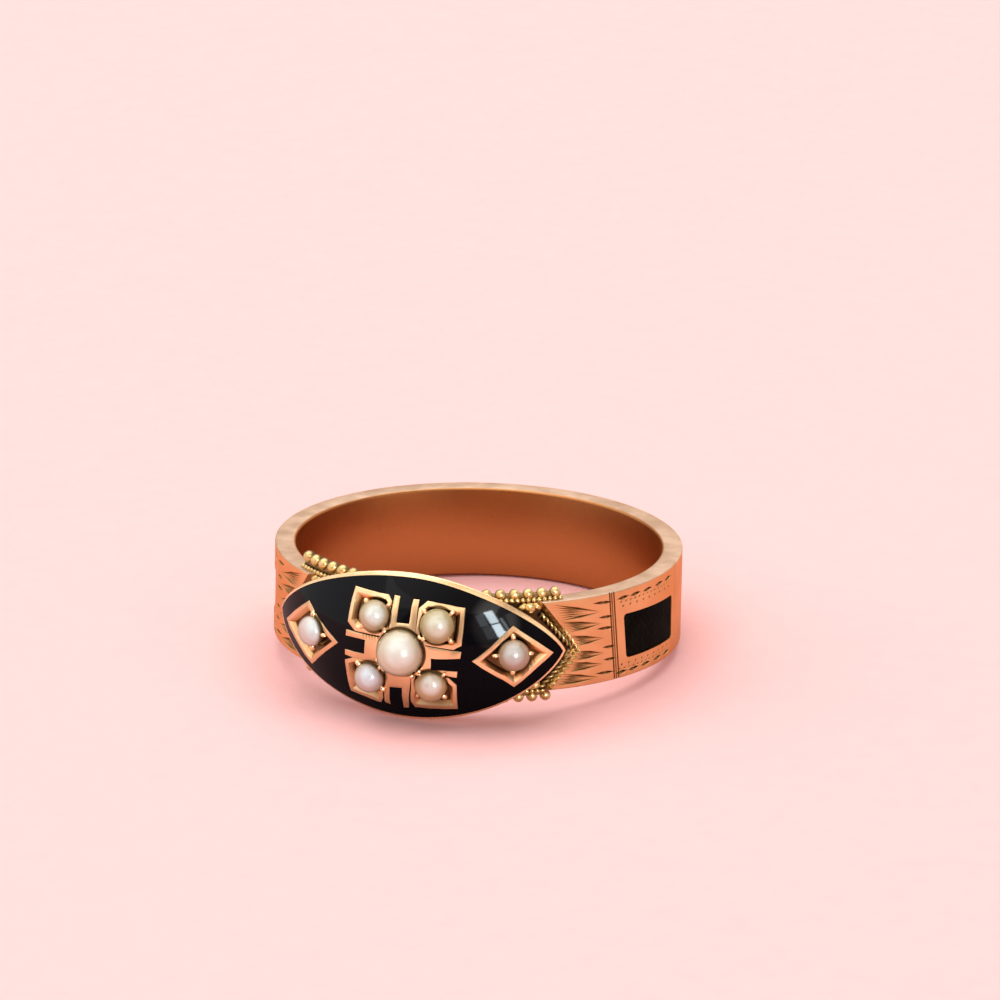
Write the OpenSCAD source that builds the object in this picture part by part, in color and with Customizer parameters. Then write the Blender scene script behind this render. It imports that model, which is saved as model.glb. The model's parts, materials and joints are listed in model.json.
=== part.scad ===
// Mourning ring with a navette head: rose gold, black enamel, pearls and inlaid panels.
// The ring is drawn about its own finger axis, with the head towards -Y, and is then
// tipped back until the head's lower edge and the rear of the band stand on one plane.

/* [Band] */
// Radius of the finger hole
finger_r = 8.8; // [8:0.1:10]
// Thickness of the band's wall
band_t = 1.0; // [0.85:0.05:1.3]
// Width of the band along the finger
band_w = 4.42; // [4:0.02:5]
// Chamfer on the inner edges of the band
edge_chamfer = 0.12; // [0.06:0.01:0.2]

/* [Shoulders] */
// Depth of the step from the band down to the neck under the head
neck_step = 0.42; // [0.3:0.02:0.5]
// Angle from the head's middle to the upper end of the V edge
notch_top_a = 37.3; // [35:0.1:39]
// Angle from the head's middle to the point of the V edge
notch_apex_a = 48.2; // [46:0.1:51]
// Angle from the head's middle to the lower end of the V edge
notch_bottom_a = 40.5; // [38:0.1:42]
// Distance of the V's point below the middle of the band
notch_drop = 0.2; // [0:0.05:0.4]
// Radius of the rope wires that lie inside the V
rope_r = 0.2; // [0.15:0.01:0.25]
// Distance from the V edge to the middle of a rope wire
rope_inset = 0.36; // [0.3:0.02:0.5]
// Distance from the band's edges to the ends of the rope wires
rope_end = 0.5; // [0.4:0.05:0.7]
// Radius of the round beads along the neck's edges
bead_r = 0.28; // [0.22:0.01:0.32]
// Height of a bead's middle above the neck's edge, as a share of its radius
bead_seat = 0.7; // [0.5:0.05:0.8]
// Depth of a bead's middle below the neck's surface, as a share of its radius
bead_bury = 0.4; // [0.3:0.05:0.5]
// Angle from the head's middle to the first bead
bead_from_a = 21; // [19:1:24]
// Angle between one bead and the next
bead_pitch_a = 4; // [3.8:0.1:4.4]
// Beads in each row
bead_count = 6; // [4:1:6]
// Radius of the small leaf behind each end of the rope
leaf_r = 0.24; // [0.18:0.01:0.3]
// Length of the small leaf
leaf_l = 0.95; // [0.7:0.05:1.2]
// Distance of the leaf from the band's edge, as a share of its radius
leaf_seat = 1.4; // [1.2:0.1:2]

/* [Engraving] */
// Depth of the engraved cuts
cut_depth = 0.12; // [0.06:0.01:0.18]
// Angle from the head's middle to the blunt ends of the darts
dart_a = 50; // [49:0.1:51]
// Length of a dart
dart_l = 1.05; // [0.8:0.05:1.2]
// Width of a dart at its blunt end
dart_w = 0.34; // [0.2:0.02:0.4]
// Darts across the band
dart_count = 6; // [4:1:7]
// Angle from the head's middle to the pair of grooves before the window
near_groove_a = 60.3; // [59.5:0.1:61]
// Angle from the head's middle to the pair of grooves after the window
far_groove_a = 93.6; // [92:0.1:96]
// Angle between the two grooves of a pair
groove_pitch_a = 1.5; // [1.2:0.1:1.8]
// Width of a groove
groove_w = 0.13; // [0.08:0.01:0.16]

/* [Windows] */
// Angle from the head's middle to the middle of a window
window_a = 77.4; // [75:0.1:79]
// Length of a window round the band
window_l = 4.3; // [3.4:0.02:4.5]
// Height of a window
window_h = 2.19; // [1.6:0.01:2.6]
// Distance of the window's middle below the middle of the band
window_drop = 0.2; // [0:0.05:0.4]
// Radius of a window's corners
window_corner_r = 0.2; // [0.1:0.05:0.4]
// Depth of a window's recess
window_depth = 0.45; // [0.3:0.05:0.6]
// Distance of the inlaid panel below the band's surface
panel_sink = 0.05; // [0:0.01:0.1]

/* [Head] */
// Height of the middle of the head's surface above the band
head_lift = 1.62; // [1.4:0.01:2.2]
// Length of the head, straight across its two points
head_l = 14.24; // [13:0.02:15]
// Height of the head
head_h = 7.28; // [6.4:0.02:8]
// Radius of the head's surface along its length
round_r = 8.89; // [8.6:0.01:9.8]
// Radius of the head's surface over its height
dome_r = 5.29; // [5:0.01:6.5]
// Power that fills out the two sides of the outline
belly = 0.85; // [0.8:0.01:1]
// Width of the gold rim round the enamel
rim_w = 0.24; // [0.2:0.01:0.4]
// Width of the gold rim at the two points
rim_point_w = 0.3; // [0.24:0.02:0.6]
// Thickness of the rim's lip
lip_t = 0.18; // [0.15:0.01:0.22]
// Thickness of the plate that carries the enamel
plate_t = 0.62; // [0.58:0.01:0.7]
// Distance that the plate stands in from the edge of the lip
plate_in = 0.1; // [0.08:0.01:0.14]
// Distance that the core stands in from the head's points
core_in_point = 3.0; // [2.8:0.1:3.4]
// Depth of the enamel
enamel_depth = 0.4; // [0.3:0.02:0.42]

/* [Cells] */
// Half width of the square of cells
cluster_u = 2.94; // [2.9:0.02:3.1]
// Enamel left at the middle between the rim and the square of cells
cluster_margin = 0.7; // [0.6:0.02:0.8]
// Angle that the square of cells is turned clockwise
cluster_turn = 4.3; // [0:0.1:5]
// Radius of the gold round the centre pearl
boss_r = 1.36; // [1.34:0.01:1.45]
// Outer width of a U-shaped fret
fret_w = 1.38; // [1.3:0.02:1.5]
// Width of an arm of a fret
fret_arm = 0.35; // [0.3:0.01:0.4]
// Depth of the slot in a fret
fret_slot = 1.1; // [0.9:0.02:1.15]
// Distance from the middle of the cluster to the inner end of a fret
fret_in = 1.25; // [1.2:0.01:1.3]
// Distance that a box runs into the fret beside it
box_lap = 0.05; // [0.03:0.01:0.1]
// Chamfer on the two box corners beside the frets
box_chamfer = 0.45; // [0.3:0.01:0.6]
// Width of the gold wall round a box's well
box_wall = 0.22; // [0.18:0.01:0.3]
// Distance along the surface from the head's middle to a lozenge
lozenge_s = 5.5; // [5.4:0.02:5.6]
// Length of a lozenge
lozenge_l = 4.1; // [3.8:0.02:4.2]
// Height of a lozenge
lozenge_h = 3.1; // [2.8:0.02:3.2]
// Width of the gold wall round a lozenge's well
lozenge_wall = 0.28; // [0.22:0.01:0.35]
// Depth of the wells
well_depth = 0.28; // [0.2:0.01:0.34]
// Radius of the small grains that hold the pearls
grain_r = 0.17; // [0.13:0.01:0.2]
// Distance from a pearl's edge to a grain's middle, as a share of the grain's radius
grain_off = 0.33; // [0.25:0.01:0.45]
// Radius of the post under a grain, as a share of the grain's radius
grain_post = 0.8; // [0.7:0.05:0.9]

/* [Pearls] */
// Radius of the centre pearl
centre_pearl_r = 1.14; // [1.05:0.01:1.2]
// Radius of the upper left pearl
top_left_pearl_r = 0.75; // [0.65:0.01:0.8]
// Radius of the upper right pearl
top_right_pearl_r = 0.82; // [0.7:0.01:0.84]
// Radius of the lower left pearl
bottom_left_pearl_r = 0.73; // [0.65:0.01:0.8]
// Radius of the lower right pearl
bottom_right_pearl_r = 0.76; // [0.65:0.01:0.8]
// Radius of the pearl in the left lozenge
left_pearl_r = 0.745; // [0.65:0.005:0.8]
// Radius of the pearl in the right lozenge
right_pearl_r = 0.76; // [0.65:0.01:0.8]
// Height of a pearl's centre above the surface of the head
pearl_rise = 0.1; // [0:0.01:0.2]
// Depth of a pearl's flat base below the surface of the head
pearl_sink = 0.36; // [0.3:0.01:0.4]
// Gap left round each pearl, panel and enamel edge
gap = 0.03; // [0.02:0.005:0.04]

/* [Hidden] */
// A little past a face, so that a cut goes cleanly through it
past = 1;
// Straight steps in one quarter of the outline
outline_steps = 12;
// The knobs at the rope's ends and bend, as a multiple of its radius
rope_knob = 1.15;
// Height of a rope's middle above the neck, as a share of its radius
rope_seat = 0.5;
// The plate and the core start this far below the head's surface, inside the lip.
under = 0.08;
// The core is narrower than the band by this on either side.
core_step = 0.07;
band_r = finger_r + band_t;
neck_r = band_r - neck_step;
head_rise = band_r + head_lift;
// Half height of the square of cells
cluster_v = head_h / 2 - rim_w - cluster_margin;
// The head's own axis is upright too, and stands this far in front of the finger axis.
head_axis = head_rise - round_r;
// Radius about the finger axis of the back of the lip, at its highest and lowest points
lip_back_r = head_rise - dome_r + sqrt(pow(dome_r - lip_t, 2) - pow(head_h / 2, 2));
core_in = head_h / 2 - band_w / 2 + core_step;
// How far the ring is tipped back to rest
tip = max(0, atan((head_h - band_w) / 2 / (lip_back_r + band_r)));
// Angle of the head's points about its own axis, and the half length along the surface
point_a = asin(head_l / 2 / round_r);
half_s = arc_length(point_a);
box_u = cluster_u - fret_w / 2 + box_lap;
box_v = cluster_v - fret_w / 2 + box_lap;
// Each pearl: [name, share of the half width, share of the half height, radius, in the cluster].
// The shares are of the square of cells, or of the lozenges' distance from the middle.
PEARLS = [
  ["centre_pearl", 0, 0.04, centre_pearl_r, true],
  ["top_left_pearl", -0.5, 0.56, top_left_pearl_r, true],
  ["top_right_pearl", 0.57, 0.59, top_right_pearl_r, true],
  ["bottom_left_pearl", -0.5, -0.55, bottom_left_pearl_r, true],
  ["bottom_right_pearl", 0.56, -0.52, bottom_right_pearl_r, true],
  ["left_pearl", -1, 0, left_pearl_r, false],
  ["right_pearl", 1, 0, right_pearl_r, false],
];
gold = "#dba182";
black = "#15161c";
pearl_white = "#efe6df";
hair_brown = "#1d1a18";
$fn = 64;

function degrees_of(x) = x * 180 / PI;
function arc_length(a) = round_r * a * PI / 180;
function on_round(a, z, r) = [r * sin(a), -r * cos(a), z];

// Half height of the outline at s along the surface, for a half length l and a half height h
function outline_z(s, l, h) =
  let (r = (l * l + h * h) / (2 * h), share = (sqrt(r * r - s * s) - r + h) / h)
  h * pow(max(0, share), belly);

// Radius of the head's surface about its own axis, at a height z
function waist(z) = round_r - dome_r + sqrt(pow(dome_r, 2) - z * z);

// The outline seen along Y, inset by w at its sides and by w_point at its two points
function outline(w, w_point) =
  let (
    l = half_s - w_point,
    h = head_h / 2 - w,
    n = outline_steps,
    upper = [for (i = [-n : n]) let (s = l * i / n, z = outline_z(s, l, h))
      [waist(z) * sin(degrees_of(s / round_r)), z]],
    lower = [for (i = [n - 1 : -1 : -n + 1]) [upper[i + n].x, -upper[i + n].y]]
  ) concat(upper, lower);

// Children drawn on the XY plane are set on the head's surface, with their Z outwards.
module on_dome(s, z) {
  translate([0, -head_axis, 0])
    rotate([0, 0, degrees_of(s / round_r)])
      translate([0, dome_r - round_r, 0])
        rotate([90 - asin(z / dome_r), 0, 0])
          translate([0, 0, dome_r])
            children();
}

module on_cluster(u, v) {
  on_dome(u * cos(cluster_turn) + v * sin(cluster_turn),
          v * cos(cluster_turn) - u * sin(cluster_turn))
    rotate([0, 0, -cluster_turn])
      children();
}

// Children drawn on the XY plane are set upright on the band, with their Z outwards.
module on_band(a, z, r) {
  rotate([0, 0, a])
    translate([0, -r, z])
      rotate([90, 0, 0])
        children();
}

module tipped() {
  rotate([-tip, 0, 0])
    children();
}

// The solid inside the head's surface, lowered by d
module dome(d) {
  middle = round_r - dome_r;
  r = dome_r - d;
  translate([0, -head_axis, 0])
    rotate_extrude() {
      translate([0, -r])
        square([middle, 2 * r]);
      intersection() {
        translate([middle, 0])
          circle(r);
        translate([0, -r])
          square([middle + r, 2 * r]);
      }
    }
}

// The outline as a prism towards the front
module outline_prism(w, w_point) {
  rotate([90, 0, 0])
    linear_extrude(head_rise + past)
      polygon(outline(w, w_point));
}

module wire(p, q, r) {
  d = q - p;
  translate(p)
    rotate([0, acos(d.z / norm(d)), atan2(d.y, d.x)])
      cylinder(r = r, h = norm(d));
}

module ball(p, r) {
  translate(p)
    sphere(r);
}

// Cells: each outline can be grown by g, so that the enamel clears it.
module fret_outline(g, l) {
  w = fret_w / 2;
  y = l / 2 + g;
  slot = w - fret_arm - g;
  floor_y = l / 2 - fret_slot + g;
  polygon([
    [-w - g, -y], [w + g, -y], [w + g, y], [slot, y],
    [slot, floor_y], [-slot, floor_y], [-slot, y], [-w - g, y],
  ]);
}

// A box for the upper right; side and up are 1 or -1 and mirror it to the other corners.
module box_outline(g, side, up) {
  x = box_u / 2 + g;
  y = box_v / 2 + g;
  c = box_chamfer + g * (2 - sqrt(2));
  polygon([for (p = [[-x, -y], [x - c, -y], [x, c - y], [x, y], [c - x, y], [-x, y - c]])
    [side * p.x, up * p.y]]);
}

module lozenge_outline(g) {
  x = lozenge_l / 2;
  y = lozenge_h / 2;
  k = 1 + g * norm([x, y]) / (x * y);
  polygon([[k * x, 0], [0, k * y], [-k * x, 0], [0, -k * y]]);
}

module at_boxes() {
  for (side = [-1, 1], up = [-1, 1]) {
    $side = side;
    $up = up;
    on_cluster(side * (cluster_u - box_u / 2), up * (cluster_v - box_v / 2))
      children();
  }
}

// Gold that stands in the enamel, as prisms through its depth
module cells(g) {
  deep = enamel_depth + past / 2;
  tall = deep + past;
  for (turn = [0 : 90 : 270]) {
    edge = turn % 180 == 0 ? cluster_v : cluster_u;
    middle = (edge + fret_in) / 2;
    on_cluster(-middle * sin(turn), middle * cos(turn))
      rotate([0, 0, turn])
        translate([0, 0, -deep])
          linear_extrude(tall)
            fret_outline(g, edge - fret_in);
  }
  at_boxes()
    translate([0, 0, -deep])
      linear_extrude(tall)
        box_outline(g, $side, $up);
  on_cluster(0, 0)
    translate([0, 0, -deep])
      cylinder(r = boss_r + g, h = tall);
  for (side = [-1, 1])
    on_dome(side * lozenge_s, 0)
      translate([0, 0, -deep])
        linear_extrude(tall)
          lozenge_outline(g);
}

module wells() {
  at_boxes()
    translate([0, 0, -well_depth])
      linear_extrude(well_depth + past)
        box_outline(-box_wall, $side, $up);
  for (side = [-1, 1])
    on_dome(side * lozenge_s, 0)
      translate([0, 0, -well_depth])
        linear_extrude(well_depth + past)
          lozenge_outline(-lozenge_wall);
}

// The enamel's space; with g it shrinks to the enamel itself, clear of the gold.
module field(g) {
  difference() {
    intersection() {
      dome(0);
      outline_prism(rim_w + g, rim_point_w + g);
    }
    dome(enamel_depth - g);
    cells(g);
  }
}

// The cut for the field reaches past the surface.
module field_cut() {
  difference() {
    outline_prism(rim_w, rim_point_w);
    dome(enamel_depth);
    cells(0);
  }
}

module at_pearl(p) {
  if (p[4])
    on_cluster(p[1] * cluster_u, p[2] * cluster_v)
      children();
  else
    on_dome(p[1] * lozenge_s, 0)
      children();
}

// A half pearl on a flat base; with g it grows to its seat.
module pearl_shape(r, g) {
  intersection() {
    translate([0, 0, pearl_rise])
      sphere(r + g);
    translate([0, 0, -pearl_sink - g])
      cylinder(r = 2 * r, h = pearl_sink + pearl_rise + 2 * r);
  }
}

module seats() {
  for (p = PEARLS)
    at_pearl(p)
      pearl_shape(p[3], gap);
}

// Grains stand round every pearl but the centre one: on the diagonals in a box, at the corners
// in a lozenge.
module grains() {
  post = enamel_depth;
  for (i = [1 : len(PEARLS) - 1]) {
    p = PEARLS[i];
    for (turn = [0 : 90 : 270])
      at_pearl(p)
        rotate([0, 0, turn + (p[4] ? 45 : 0)])
          translate([p[3] + grain_r * grain_off, 0, 0]) {
            sphere(grain_r);
            translate([0, 0, -post])
              cylinder(r = grain_r * grain_post, h = post);
          }
  }
}

// The head's surface as a sheet, from one depth to another
module sheet(from, to) {
  difference() {
    dome(from);
    dome(to);
  }
}

// A thin lip all round, a plate behind it and a narrower core that joins the plate to the neck
module head() {
  intersection() {
    sheet(0, lip_t);
    outline_prism(0, 0);
  }
  intersection() {
    sheet(under, plate_t);
    outline_prism(plate_in, plate_in);
  }
  intersection() {
    dome(under);
    outline_prism(core_in, core_in_point);
  }
}

// The finger hole and the chamfers at its edges
module hole_cut() {
  z = band_w / 2;
  r = finger_r + edge_chamfer;
  half = [[finger_r, z - edge_chamfer], [r, z], [r, z + past], [0, z + past]];
  rotate_extrude($fn = 180)
    polygon(concat([for (i = [len(half) - 1 : -1 : 0]) [half[i].x, -half[i].y]], half));
}

// The space in front of the V edge of one shoulder, down to the neck
module notch_cut(side) {
  top = band_w / 2 + past;
  a = notch_apex_a;
  slope_top = (notch_apex_a - notch_top_a) / (band_w / 2 + notch_drop);
  slope_bottom = (notch_apex_a - notch_bottom_a) / (band_w / 2 - notch_drop);
  v = [[0, top], [a - slope_top * (top + notch_drop), top], [a, -notch_drop],
       [a - slope_bottom * (top - notch_drop), -top], [0, -top]];
  mirror([side < 0 ? 1 : 0, 0, 0])
    intersection() {
      difference() {
        cylinder(r = band_r + past, h = 2 * top, center = true, $fn = 180);
        cylinder(r = neck_r, h = 3 * top, center = true, $fn = 180);
      }
      on_band(a, 0, 0)
        linear_extrude(band_r + 2 * past)
          polygon([for (p = v) [band_r * tan(p.x - a), p.y]]);
    }
}

module band() {
  difference() {
    cylinder(r = band_r, h = band_w, center = true, $fn = 180);
    for (side = [-1, 1])
      notch_cut(side);
  }
}

module rounded(l, h, r) {
  square([l - 2 * r, h], center = true);
  square([l, h - 2 * r], center = true);
  for (x = [-1, 1], y = [-1, 1])
    translate([x * (l / 2 - r), y * (h / 2 - r)])
      circle(r);
}

// A window's space between two radii about the finger axis; g shrinks its outline.
module window_shape(side, r_in, r_out, g) {
  intersection() {
    on_band(side * window_a, -window_drop, 0)
      linear_extrude(band_r + 2 * past)
        rounded(window_l - 2 * g, window_h - 2 * g, window_corner_r);
    difference() {
      cylinder(r = r_out, h = band_w, center = true, $fn = 180);
      cylinder(r = r_in, h = band_w + past, center = true, $fn = 180);
    }
  }
}

module dart(l, w) {
  translate([0, 0, -cut_depth])
    linear_extrude(cut_depth + past)
      polygon([[0, -w / 2], [l, 0], [0, w / 2]]);
}

module engraving(side) {
  row = band_w / dart_count;
  mirror([side < 0 ? 1 : 0, 0, 0]) {
    for (i = [0 : dart_count - 1])
      on_band(dart_a, band_w / 2 - row * (i + 0.5), band_r)
        dart(dart_l, dart_w);
    for (pair = [near_groove_a, far_groove_a], k = [-1, 1])
      on_band(pair + k * groove_pitch_a / 2, 0, band_r - cut_depth)
        translate([-groove_w / 2, -band_w, 0])
          cube([groove_w, 2 * band_w, past]);
  }
}

module bead_rows() {
  for (side = [-1, 1], up = [-1, 1], i = [0 : bead_count - 1])
    ball(on_round(side * (bead_from_a + i * bead_pitch_a), up * (band_w / 2 + bead_r * bead_seat),
                  neck_r - bead_r * bead_bury), bead_r);
}

module ropes() {
  r = neck_r + rope_r * rope_seat;
  inset = degrees_of(rope_inset / neck_r);
  z = band_w / 2 - rope_end;
  apex = [notch_apex_a - inset, -notch_drop];
  slope_top = (notch_apex_a - notch_top_a) / (band_w / 2 + notch_drop);
  slope_bottom = (notch_apex_a - notch_bottom_a) / (band_w / 2 - notch_drop);
  ends = [[apex.x - slope_top * (z + notch_drop), z], [apex.x - slope_bottom * (z - notch_drop), -z]];
  for (side = [-1, 1]) {
    ball(on_round(side * apex.x, apex.y, r), rope_r * rope_knob);
    for (end = ends) {
      wire(on_round(side * apex.x, apex.y, r), on_round(side * end.x, end.y, r), rope_r);
      ball(on_round(side * end.x, end.y, r), rope_r * rope_knob);
    }
  }
}

module leaves() {
  half = degrees_of(leaf_l / 2 / neck_r);
  a = notch_top_a - half;
  z = band_w / 2 - leaf_r * leaf_seat;
  for (side = [-1, 1], up = [-1, 1])
    wire(on_round(side * (a - half), up * z, neck_r), on_round(side * a, up * z, neck_r), leaf_r);
}

module gold_ring() {
  color(gold)
    tipped()
      difference() {
        union() {
          difference() {
            union() {
              band();
              head();
            }
            field_cut();
            wells();
            for (side = [-1, 1]) {
              window_shape(side, band_r - window_depth, band_r + past, 0);
              engraving(side);
            }
          }
          grains();
          bead_rows();
          ropes();
          leaves();
        }
        hole_cut();
        seats();
      }
}

module enamel_field() {
  color(black)
    tipped()
      field(gap);
}

module pearl(i) {
  color(pearl_white)
    tipped()
      at_pearl(PEARLS[i])
        pearl_shape(PEARLS[i][3], 0);
}

module hair_panel(side) {
  color(hair_brown)
    tipped()
      window_shape(side, band_r - window_depth + gap, band_r - panel_sink, gap);
}

gold_ring();
enamel_field();
for (i = [0 : len(PEARLS) - 1])
  pearl(i);
hair_panel(-1);  // left_hair_panel
hair_panel(1);  // right_hair_panel
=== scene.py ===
# %% [markdown]
# # A mourning ring, made flat and then bent
# The ring has a pointed oval head with black enamel and pearls, and a gold band with
# engraving and two dark inlaid windows.
# A goldsmith cuts and engraves such a band as a flat strip and then bends it round.
# This lesson does the same: the pieces are modelled flat, where cuts and bevels are easy,
# and a short function then bends them round the finger or over the head.

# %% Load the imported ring
import json
from math import asin, cos, pi, radians, sin, sqrt
import bmesh
import bpy
from mathutils import Matrix, Quaternion, Vector, noise

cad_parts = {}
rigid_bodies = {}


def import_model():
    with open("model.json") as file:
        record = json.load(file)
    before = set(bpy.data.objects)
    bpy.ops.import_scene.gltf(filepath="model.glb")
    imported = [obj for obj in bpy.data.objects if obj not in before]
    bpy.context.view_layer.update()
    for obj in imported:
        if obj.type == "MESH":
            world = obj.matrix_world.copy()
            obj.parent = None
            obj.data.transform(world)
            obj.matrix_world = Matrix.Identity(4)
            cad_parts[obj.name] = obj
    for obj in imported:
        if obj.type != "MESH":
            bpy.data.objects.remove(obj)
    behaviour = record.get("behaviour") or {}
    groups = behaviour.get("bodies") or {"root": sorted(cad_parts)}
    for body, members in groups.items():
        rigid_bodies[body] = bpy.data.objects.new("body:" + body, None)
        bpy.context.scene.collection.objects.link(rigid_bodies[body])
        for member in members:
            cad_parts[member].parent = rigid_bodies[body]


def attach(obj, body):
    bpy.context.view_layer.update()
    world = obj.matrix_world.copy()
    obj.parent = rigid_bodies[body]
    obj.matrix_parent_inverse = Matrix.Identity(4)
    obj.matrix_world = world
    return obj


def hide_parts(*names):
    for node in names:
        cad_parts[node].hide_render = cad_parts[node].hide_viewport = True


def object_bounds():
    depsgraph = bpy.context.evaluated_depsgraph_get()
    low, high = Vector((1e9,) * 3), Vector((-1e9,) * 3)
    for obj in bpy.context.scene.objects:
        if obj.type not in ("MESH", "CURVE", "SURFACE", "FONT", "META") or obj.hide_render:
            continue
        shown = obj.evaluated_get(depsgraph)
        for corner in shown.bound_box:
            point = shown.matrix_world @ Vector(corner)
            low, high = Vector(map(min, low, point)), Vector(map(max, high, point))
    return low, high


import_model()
cad_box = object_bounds()
print("CAD box", [list(corner) for corner in cad_box])

# %% [markdown]
# ## Sizes
# The drawing is in millimetres about the ring's own finger axis, with the head in front.
# At the very end each mesh is tipped back, as the ring lies, and turned into metres.
# Working in millimetres keeps the numbers easy to read beside a ruler.

# %% Sizes
MM = 0.001
TIP = radians(4.190664)
BAND_R = 9.8
BAND_T = 1.0
BAND_W = 4.42
NECK_STEP = 0.42
ROUND_R = 8.89
DOME_R = 5.29
HEAD_AXIS = 2.53
HEAD_HALF_S = 8.258
HEAD_HALF_H = 3.64
HALF_TURN = pi * BAND_R
TIPPED = Matrix.Rotation(-TIP, 4, "X")


def round_band(degrees_round):
    """The distance along the flat strip for an angle from the head's middle."""
    return radians(degrees_round) * BAND_R


print("once round the band is", round(2 * HALF_TURN, 2), "mm")


# %% [markdown]
# ## Two bends
# A flat piece has x along it, y across it and z as its height above the surface.
# One function rolls the strip round the finger. The other lays a flat drawing over the head,
# which is curved both ways.
# Each keeps the flat place of every vertex in an attribute called flat, so that a material
# can tell a cut from the surface around it.

# %% The bends
def rolled(p):
    angle = p.x / BAND_R
    radius = BAND_R + p.z
    return Vector((radius * sin(angle), -radius * cos(angle), p.y))


def domed(p):
    across = asin(max(-1, min(1, p.y / DOME_R)))
    along = p.x / ROUND_R
    radius = ROUND_R - DOME_R + (DOME_R + p.z) * cos(across)
    return Vector((radius * sin(along), -HEAD_AXIS - radius * cos(along), (DOME_R + p.z) * sin(across)))


def bend(bm, way):
    flat = bm.verts.layers.float_vector.new("flat")
    for vert in bm.verts:
        vert[flat] = vert.co
        vert.co = way(vert.co)


def slices(bm, axis, reach, step):
    """Cuts the mesh into strips, so that it can follow a curve."""
    count = int(2 * reach / step)
    for i in range(1, count):
        at = Vector((0, 0, 0))
        at[axis] = -reach + 2 * reach * i / count
        normal = Vector((0, 0, 0))
        normal[axis] = 1
        geom = bm.verts[:] + bm.edges[:] + bm.faces[:]
        bmesh.ops.bisect_plane(bm, geom=geom, dist=1e-5, plane_co=at, plane_no=normal)


# %% [markdown]
# ## Finishing a piece
# Every piece is handed to the frame in the same way.
# It is tipped back, scaled to metres, shaded smooth with crisp edges where faces meet sharply, and the
# CAD solid it stands for is hidden.

# %% Finish a piece
def finish_piece(name, bm, material, node="gold_ring", crisp=32):
    bmesh.ops.transform(bm, matrix=Matrix.Scale(MM, 4) @ TIPPED, verts=bm.verts)
    for face in bm.faces:
        face.smooth = True
    for edge in bm.edges:
        edge.smooth = edge.calc_face_angle(0) < radians(crisp)
    mesh = bpy.data.meshes.new(name)
    bm.to_mesh(mesh)
    bm.free()
    piece = bpy.data.objects.new(name, mesh)
    bpy.context.scene.collection.objects.link(piece)
    mesh.materials.append(material)
    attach(piece, "root")
    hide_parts(node)
    mesh.calc_loop_triangles()
    print(name, len(mesh.loop_triangles), "triangles")


# %% [markdown]
# ## Camera
# The photograph was taken from a little above and to the right of the head, from far away
# with a long lens, so lines that run back hardly shrink.
# The camera's direction was fitted to the ring's edges. It is given about the ring's own axis
# and tipped back with it.

# %% Camera
AZIMUTH = radians(18.548)
ELEVATION = radians(17.279)
ROLL = radians(1.251)
DISTANCE = 595.2
ASIDE = 1.058
ABOVE = 4.149
LENS = 445
FILM_WIDTH = 36

towards = Vector((sin(AZIMUTH) * cos(ELEVATION), -cos(AZIMUTH) * cos(ELEVATION), sin(ELEVATION)))
level = (-towards).cross(Vector((0, 0, 1))).normalized()
upright = level.cross(-towards)
right = level * cos(ROLL) + upright * sin(ROLL)
up = upright * cos(ROLL) - level * sin(ROLL)
place = Matrix((right, up, towards)).transposed().to_4x4()
place.translation = (towards * DISTANCE + right * ASIDE + up * ABOVE) * MM
camera = bpy.data.objects.new("camera", bpy.data.cameras.new("camera"))
bpy.context.scene.collection.objects.link(camera)
camera.data.lens = LENS
camera.data.sensor_width = FILM_WIDTH
camera.matrix_world = TIPPED @ place
bpy.context.scene.camera = camera
print("camera at", [round(x, 4) for x in camera.matrix_world.translation])

# %% [markdown]
# ## Shader arithmetic
# Materials are networks of nodes, which are tiresome to wire up one by one.
# This small class wraps one output socket. Adding or multiplying two of them adds the Math
# node that does it, so a pattern reads like ordinary arithmetic.

# %% Shader arithmetic
class Flow:
    def __init__(self, tree, socket=None):
        self.tree = tree
        self.socket = socket

    def node(self, kind, settings, sockets, out=0):
        made = self.tree.nodes.new(kind)
        for name, value in settings.items():
            setattr(made, name, value)
        for key, value in sockets.items():
            if isinstance(value, Flow):
                self.tree.links.new(value.socket, made.inputs[key])
            else:
                made.inputs[key].default_value = value
        return Flow(self.tree, made.outputs[out])

    def maths(self, operation, a, b):
        return self.node("ShaderNodeMath", {"operation": operation}, {0: a, 1: b})

    def __add__(self, other):
        return self.maths("ADD", self, other)

    __radd__ = __add__

    def __mul__(self, other):
        return self.maths("MULTIPLY", self, other)

    __rmul__ = __mul__

    def __sub__(self, other):
        return self.maths("SUBTRACT", self, other)

    def __rsub__(self, other):
        return self.maths("SUBTRACT", other, self)

    def __abs__(self):
        return self.maths("ABSOLUTE", self, 0)

    def sine(self):
        return self.maths("SINE", self, 0)

    def distance_to(self, point):
        return self.node("ShaderNodeVectorMath", {"operation": "DISTANCE"}, {0: self, 1: point}, "Value")

    def between(self, low, high):
        """Rises smoothly from 0 at low to 1 at high."""
        settings = {"interpolation_type": "SMOOTHSTEP"}
        return self.node("ShaderNodeMapRange", settings, {0: self, 1: low, 2: high})

    def mix(self, first, second):
        """The first colour where this is 0 and the second where it is 1."""
        return self.node("ShaderNodeMix", {"data_type": "RGBA"}, {0: self, 6: first, 7: second}, 2)

    def axis(self, index):
        return self.node("ShaderNodeSeparateXYZ", {}, {0: self}, index)

    def stretched(self, scale):
        return self.node("ShaderNodeMapping", {}, {"Vector": self, "Scale": scale})

    def noise(self, scale, detail=2):
        return self.node("ShaderNodeTexNoise", {}, {"Vector": self, "Scale": scale, "Detail": detail})


def new_finish(name, **constants):
    """A new material, and a Flow on its nodes. Constants go straight on the shader."""
    made = bpy.data.materials.new(name)
    made.use_nodes = True
    shader = made.node_tree.nodes["Principled BSDF"]
    for socket, value in constants.items():
        shader.inputs[socket.replace("_", " ")].default_value = value
    print("finish", name)
    return made, Flow(made.node_tree), shader


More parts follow.
